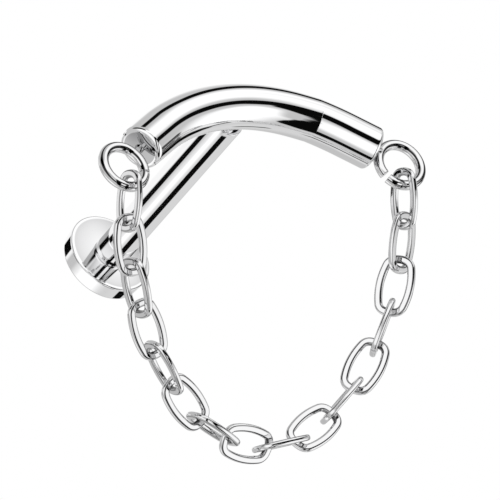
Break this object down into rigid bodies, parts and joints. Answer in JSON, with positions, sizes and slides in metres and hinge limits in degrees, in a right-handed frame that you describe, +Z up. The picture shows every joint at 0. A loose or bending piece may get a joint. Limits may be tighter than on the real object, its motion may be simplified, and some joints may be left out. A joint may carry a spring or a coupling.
{
  "type": "flat back stud",
  "caption": "Flat back stud: a polished curved bar on a straight post with a round disc back, and a fine cable chain hung between open rings at the bar's ends.",
  "frame": {"origin": "middle of the post's wearable length, on its centre line, between the bar's underside and the disc's inner face", "axes": "+X along the bar's chord, +Z up as the picture shows the stud hanging, +Y to the back; the post runs from the bar to the disc along +Y and drops 34.6 degrees"},
  "size_m": [0.0136, 0.0109, 0.0127],
  "materials": {
    "bar_metal": "mirror polished",
    "back_metal": "mirror polished",
    "chain_metal": "polished"
  },
  "bodies": {
    "root": {"curved_bar": "bar_metal", "flat_back": "back_metal", "link_01": "chain_metal", "link_02": "chain_metal", "link_03": "chain_metal", "link_04": "chain_metal", "link_05": "chain_metal", "link_06": "chain_metal", "link_07": "chain_metal", "link_08": "chain_metal", "link_09": "chain_metal", "link_10": "chain_metal", "link_11": "chain_metal", "link_12": "chain_metal", "link_13": "chain_metal", "link_14": "chain_metal", "link_15": "chain_metal", "link_16": "chain_metal"}
  },
  "joints": []
}
